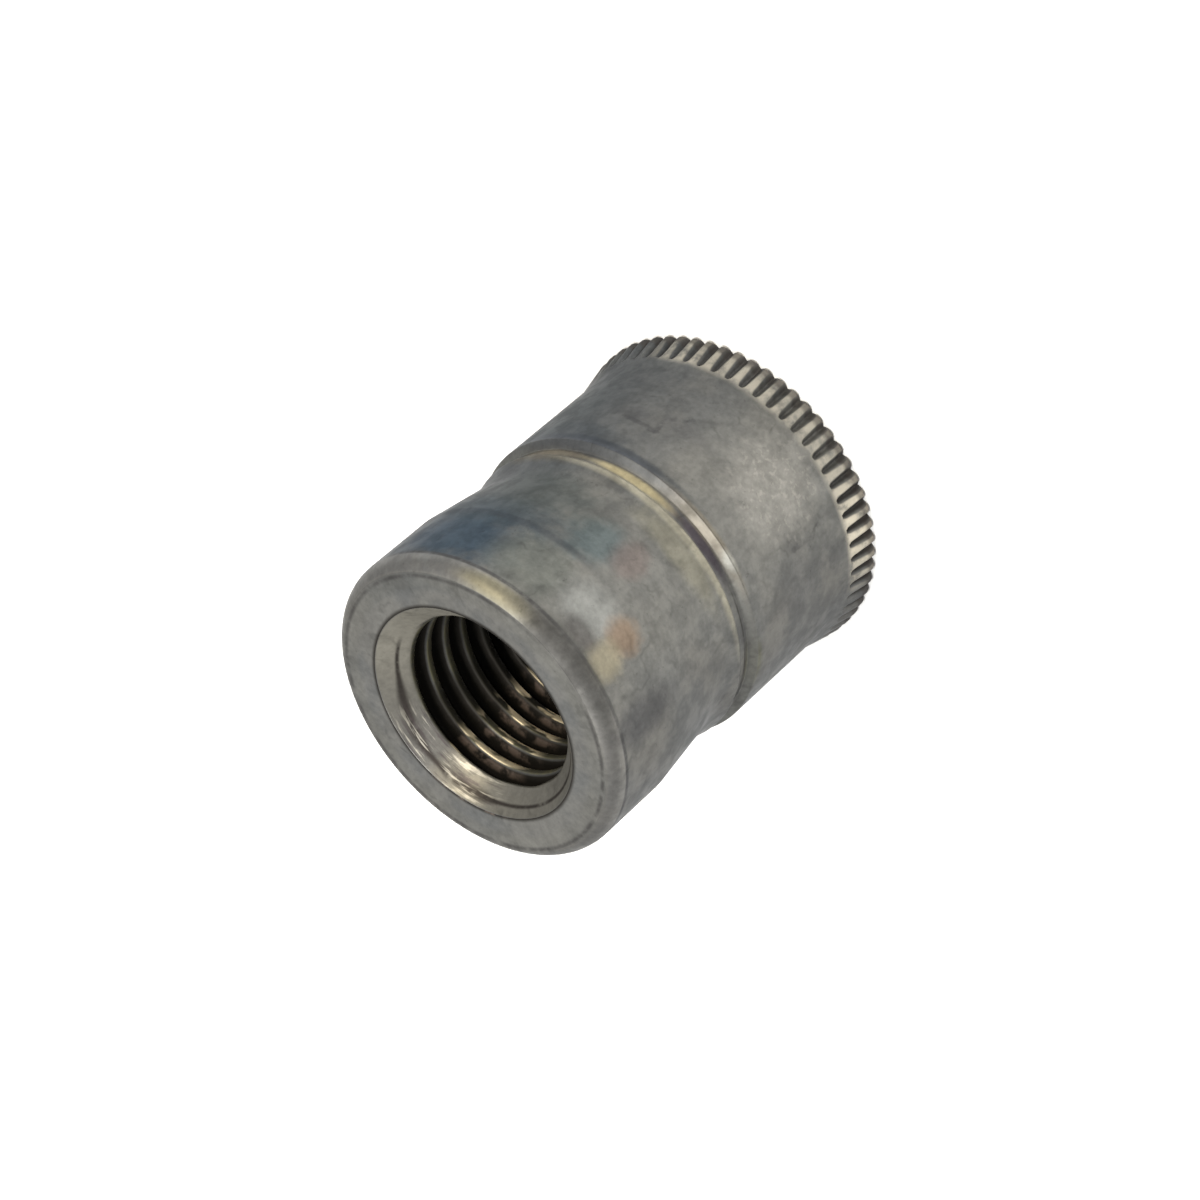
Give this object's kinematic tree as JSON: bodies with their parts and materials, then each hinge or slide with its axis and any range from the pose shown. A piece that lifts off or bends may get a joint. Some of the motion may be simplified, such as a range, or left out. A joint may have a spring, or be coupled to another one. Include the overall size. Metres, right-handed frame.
{
  "type": "rivet nut",
  "caption": "Blind rivet nut: a fine-threaded nut end, tapered to a waist, and a plain sleeve behind a turned groove, with a low knurled head; for a round hole in sheet metal.",
  "frame": {"origin": "centre of the head's outer face, which the nut stands on", "axes": "+Z along the nut's axis, from the knurled head to the threaded end; the nut is round, so X and Y are any two directions across it"},
  "size_m": [0.0134, 0.0134, 0.0157],
  "materials": {
    "plated_steel": "dull zinc plating, with tarnish and small stains"
  },
  "bodies": {
    "root": {"rivet_nut": "plated_steel"}
  },
  "joints": []
}
